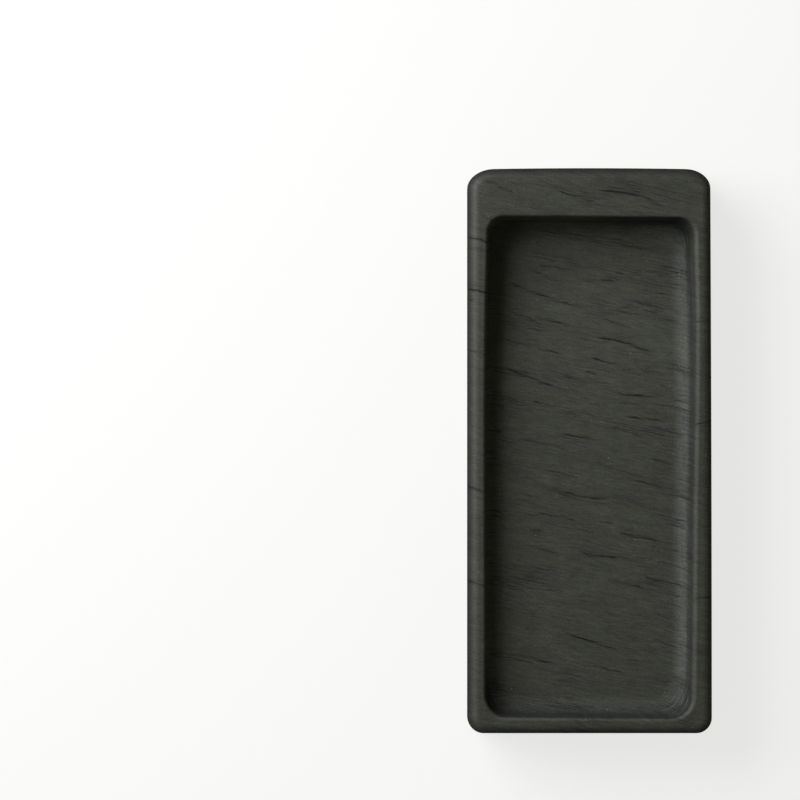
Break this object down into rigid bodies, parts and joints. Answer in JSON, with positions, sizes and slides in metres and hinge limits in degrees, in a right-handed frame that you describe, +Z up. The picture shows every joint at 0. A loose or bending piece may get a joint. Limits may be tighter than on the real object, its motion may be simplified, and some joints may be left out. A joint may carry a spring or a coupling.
{
  "type": "ink stone",
  "caption": "Long rectangular slate ink stone with rounded corners and a hollowed well whose floor runs down into an ink pool beside a wide land.",
  "frame": {"origin": "middle of the underside", "axes": "+Z up out of the well, +Y along the length towards the wide land and the ink pool, +X across"},
  "size_m": [0.055, 0.127, 0.018],
  "materials": {
    "slate": "honed, matt with a faint sheen"
  },
  "bodies": {
    "root": {"stone": "slate"}
  },
  "joints": []
}
